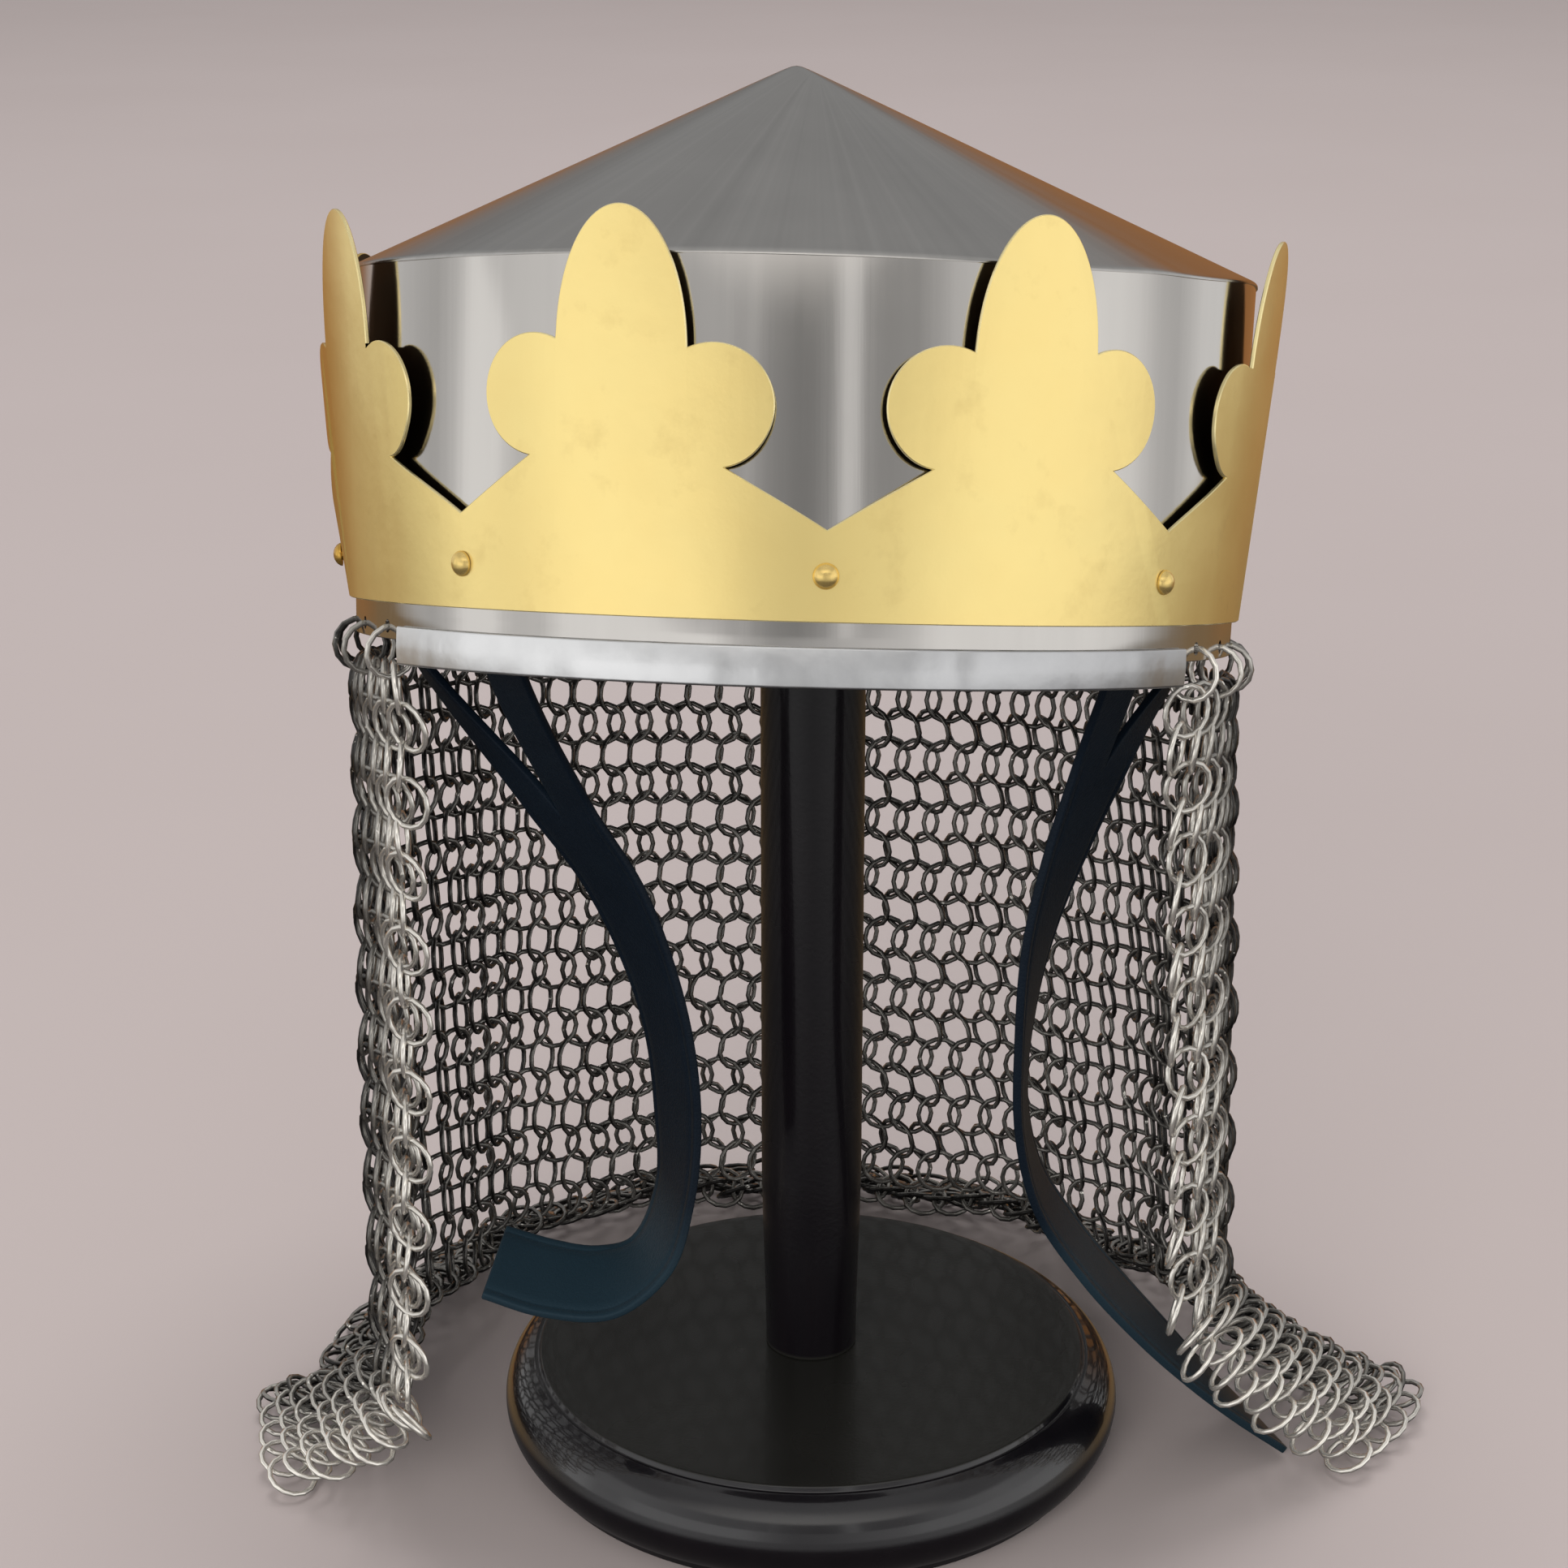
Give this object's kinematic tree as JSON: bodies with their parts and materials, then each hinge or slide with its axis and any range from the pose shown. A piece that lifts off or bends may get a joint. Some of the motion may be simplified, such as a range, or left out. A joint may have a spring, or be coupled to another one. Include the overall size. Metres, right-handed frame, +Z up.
{
  "type": "crowned helmet on a display stand",
  "caption": "Open-faced steel helmet with a brass crown of trefoil points, a ring-mail curtain round the sides and back and black leather straps, on a dark turned stand.",
  "frame": {"origin": "centre of the stand's underside, on the table", "axes": "+Z up along the post; the face opening looks along -Y; +X is the side of the strap that lies on the table, right in the picture"},
  "size_m": [0.3024, 0.2533, 0.3455],
  "materials": {
    "polished_steel": "satin polish with soft vertical bands",
    "bright_steel": "bright satin",
    "satin_brass": "satin with faint stains",
    "mail_steel": "oiled round wire",
    "black_leather": "smooth black with raised edges",
    "dark_lacquer": "glossy near-black lacquer"
  },
  "bodies": {
    "root": {"brow_strip": "bright_steel", "crown_band": "satin_brass", "crown_rivet_1": "satin_brass", "crown_rivet_2": "satin_brass", "crown_rivet_3": "satin_brass", "crown_rivet_4": "satin_brass", "crown_rivet_5": "satin_brass", "crown_rivet_6": "satin_brass", "crown_rivet_7": "satin_brass", "crown_rivet_8": "satin_brass", "mail_curtain": "mail_steel", "mail_hanger_01": "mail_steel", "mail_hanger_02": "mail_steel", "mail_hanger_03": "mail_steel", "mail_hanger_04": "mail_steel", "mail_hanger_05": "mail_steel", "mail_hanger_06": "mail_steel", "mail_hanger_07": "mail_steel", "mail_hanger_08": "mail_steel", "mail_hanger_09": "mail_steel", "mail_hanger_10": "mail_steel", "mail_hanger_11": "mail_steel", "mail_hanger_12": "mail_steel", "mail_hanger_13": "mail_steel", "mail_hanger_14": "mail_steel", "mail_hanger_15": "mail_steel", "mail_hanger_16": "mail_steel", "mail_hanger_17": "mail_steel", "mail_hanger_18": "mail_steel", "mail_hanger_19": "mail_steel", "mail_hanger_20": "mail_steel", "mail_hanger_21": "mail_steel", "mail_hanger_22": "mail_steel", "mail_hanger_23": "mail_steel", "mail_hanger_24": "mail_steel", "mail_hanger_25": "mail_steel", "mail_hanger_26": "mail_steel", "mail_hanger_27": "mail_steel", "mail_hanger_28": "mail_steel", "skull_band": "polished_steel", "skull_cone": "polished_steel", "stand_base": "dark_lacquer", "stand_post": "dark_lacquer", "strap_left": "black_leather", "strap_right": "black_leather"}
  },
  "joints": []
}
